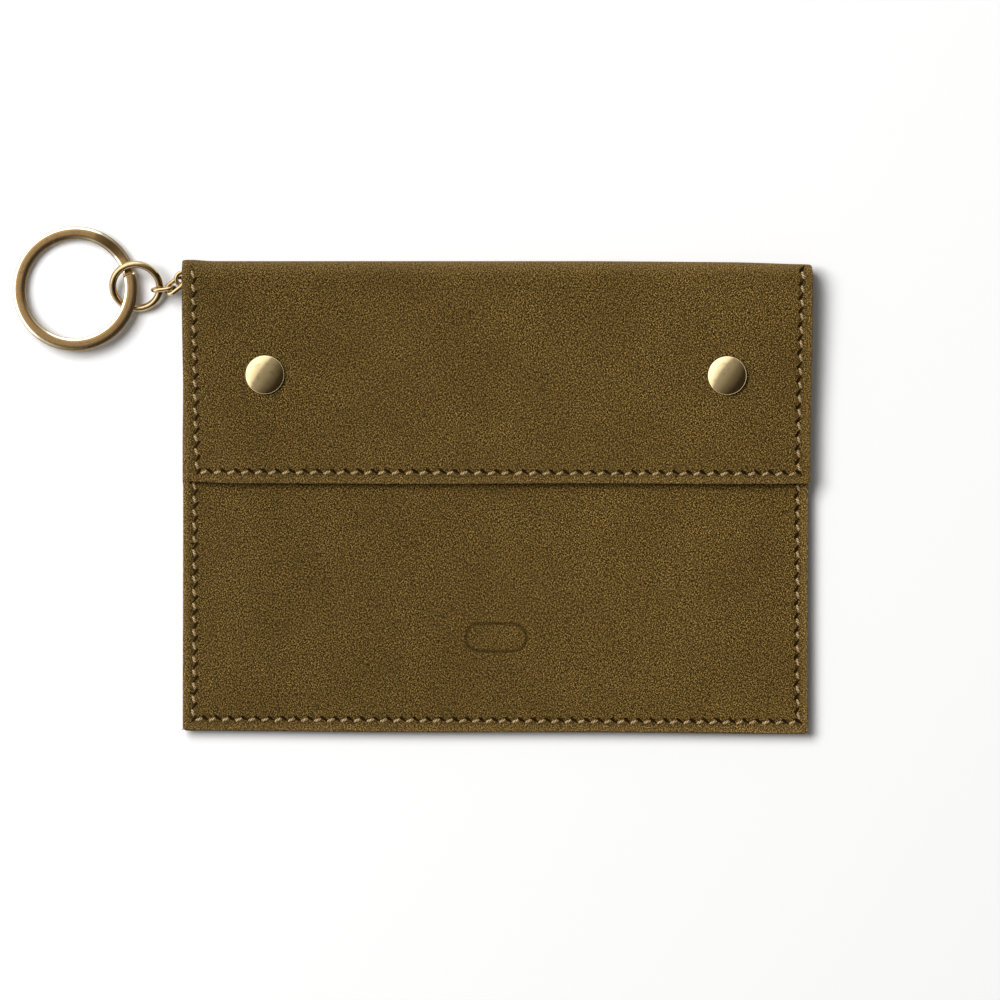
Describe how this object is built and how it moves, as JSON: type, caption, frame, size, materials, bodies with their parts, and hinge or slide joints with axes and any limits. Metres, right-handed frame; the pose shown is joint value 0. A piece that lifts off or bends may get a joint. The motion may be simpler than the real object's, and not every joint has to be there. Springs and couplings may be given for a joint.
{
  "type": "snap flap pouch wallet",
  "caption": "Flat suede pouch wallet with a folded-over flap, domed snaps, slanted hand stitching and a short side chain ending in a split key ring.",
  "frame": {"origin": "centre of the pouch's width on its back face, at the height where the closed flap's free edge lies 3.3 mm above it", "axes": "+X to the right across the front, +Y towards the fold, +Z out of the front"},
  "size_m": [0.2038, 0.1299, 0.0122],
  "materials": {
    "suede": "napped suede, olive brown",
    "lining": "fine twill",
    "thread": "waxed linen thread",
    "snap_metal": "satin antique brass",
    "chain_metal": "polished pale brass",
    "ring_metal": "satin antique brass"
  },
  "bodies": {
    "pouch": {"back_panel": "suede", "back_lining": "lining", "front_panel": "suede", "front_lining": "lining", "flap_fold": "suede", "flap_fold_lining": "lining", "body_stitching": "thread", "chain_tab": "suede", "tab_stitching": "thread", "snap_stud_left": "snap_metal", "snap_stud_right": "snap_metal", "snap_eyelet_left": "snap_metal", "snap_eyelet_right": "snap_metal"},
    "flap": {"flap_panel": "suede", "flap_lining": "lining", "flap_stitching": "thread", "snap_cap_left": "snap_metal", "snap_cap_right": "snap_metal", "snap_socket_left": "snap_metal", "snap_socket_right": "snap_metal", "snap_spring_left": "snap_metal", "snap_spring_right": "snap_metal"},
    "link_1": {"chain_link_1": "chain_metal"},
    "link_2": {"chain_link_2": "chain_metal"},
    "link_3": {"chain_link_3": "chain_metal"},
    "link_4": {"chain_link_4": "chain_metal"},
    "jump": {"jump_ring": "chain_metal"},
    "key_ring": {"split_ring": "ring_metal"}
  },
  "joints": [
    {"name": "flap_hinge", "type": "hinge", "parent": "pouch", "child": "flap", "pos_m": [0, 0.063, 0.0051], "axis": [-1, 0, 0], "range_deg": [0, 175], "deforming": ["flap_fold", "flap_fold_lining"]},
    {"name": "chain_swing_1", "type": "hinge", "parent": "pouch", "child": "link_1", "pos_m": [-0.07215, 0.0557, 0.0051], "axis": [0.0349, 0.9994, 0], "range_deg": [0, 5]},
    {"name": "chain_swing_2", "type": "hinge", "parent": "link_1", "child": "link_2", "pos_m": [-0.0779, 0.0558, 0.00525], "axis": [0.135, -0.2129, 0.9677], "range_deg": [-12, 0]},
    {"name": "chain_swing_3", "type": "hinge", "parent": "link_2", "child": "link_3", "pos_m": [-0.08118, 0.05479, 0.00547], "axis": [-0.5538, 0.4188, 0.7197], "range_deg": [0, 20]},
    {"name": "chain_swing_4", "type": "hinge", "parent": "link_3", "child": "link_4", "pos_m": [-0.08389, 0.05352, 0.00407], "axis": [-0.136, 0.9762, 0.169], "range_deg": [0, 25]},
    {"name": "jump_ring_swing", "type": "hinge", "parent": "link_4", "child": "jump", "pos_m": [-0.08601, 0.05337, 0.00393], "axis": [0.071, 0.9154, 0.3962], "range_deg": [0, 45]},
    {"name": "key_ring_swing", "type": "hinge", "parent": "jump", "child": "key_ring", "pos_m": [-0.09205, 0.05395, 0.00367], "axis": [-0.077, -0.3911, 0.9171], "range_deg": [-45, 0]}
  ]
}
